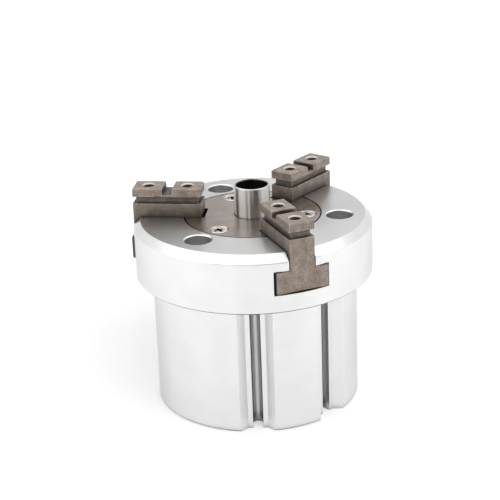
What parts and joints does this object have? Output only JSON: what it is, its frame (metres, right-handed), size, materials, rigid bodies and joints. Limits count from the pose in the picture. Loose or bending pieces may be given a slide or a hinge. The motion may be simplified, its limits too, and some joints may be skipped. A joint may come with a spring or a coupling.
{
  "type": "three jaw centric gripper",
  "caption": "Round pneumatic centric gripper: a piston draws the radial base jaws in T-slots through inclined hooks, around a through tube.",
  "frame": {"origin": "centre of the bottom mounting face", "axes": "+Z along the gripper's axis towards the jaws; jaw_1 stands along -X"},
  "size_m": [0.1, 0.1, 0.0929],
  "materials": {
    "anodised": "satin clear anodised",
    "plate_steel": "fine ground, blued brown-grey",
    "jaw_steel": "ground and hardened",
    "tube_steel": "polished stainless",
    "screw_steel": "bright zinc plated",
    "seal_rubber": "matte",
    "bush_bronze": "sintered",
    "guide_plastic": "matte",
    "magnet": "matte, plastic bonded"
  },
  "bodies": {
    "housing": {"jaw_housing": "anodised", "cylinder_body": "anodised", "rear_cover": "anodised", "rod_guide": "anodised", "cover_plate": "plate_steel", "through_tube": "tube_steel", "cover_screws": "screw_steel", "housing_screws": "screw_steel", "dowel_pins": "screw_steel", "retaining_ring": "screw_steel", "tube_nut": "screw_steel", "tube_o_ring_front": "seal_rubber", "tube_o_ring_rear": "seal_rubber", "rod_guide_o_ring": "seal_rubber", "rear_cover_o_ring": "seal_rubber", "rod_seal": "seal_rubber", "bumper_front": "seal_rubber", "bumper_rear": "seal_rubber", "rod_bush": "bush_bronze"},
    "piston_unit": {"piston": "anodised", "piston_seal_front": "seal_rubber", "piston_seal_rear": "seal_rubber", "piston_guide_ring": "guide_plastic", "magnet_ring": "magnet", "piston_inner_seal": "seal_rubber", "piston_rod": "tube_steel", "wedge_hub": "jaw_steel", "rod_nut": "screw_steel"},
    "jaw_1": {"jaw_1": "jaw_steel"},
    "jaw_2": {"jaw_2": "jaw_steel"},
    "jaw_3": {"jaw_3": "jaw_steel"}
  },
  "joints": [
    {"name": "piston_slide", "type": "slide", "parent": "housing", "child": "piston_unit", "axis": [0, 0, 1], "range_m": [-0.005, 0.001]},
    {"name": "jaw_1_slide", "type": "slide", "parent": "housing", "child": "jaw_1", "axis": [-1, 0, 0], "range_m": [-0.001, 0.005]},
    {"name": "jaw_2_slide", "type": "slide", "parent": "housing", "child": "jaw_2", "axis": [0.5, -0.866, 0], "range_m": [-0.001, 0.005]},
    {"name": "jaw_3_slide", "type": "slide", "parent": "housing", "child": "jaw_3", "axis": [0.5, 0.866, 0], "range_m": [-0.001, 0.005]}
  ],
  "couplings": [
    {"joint": "jaw_1_slide", "follows": "piston_slide", "ratio": -1},
    {"joint": "jaw_2_slide", "follows": "piston_slide", "ratio": -1},
    {"joint": "jaw_3_slide", "follows": "piston_slide", "ratio": -1}
  ]
}
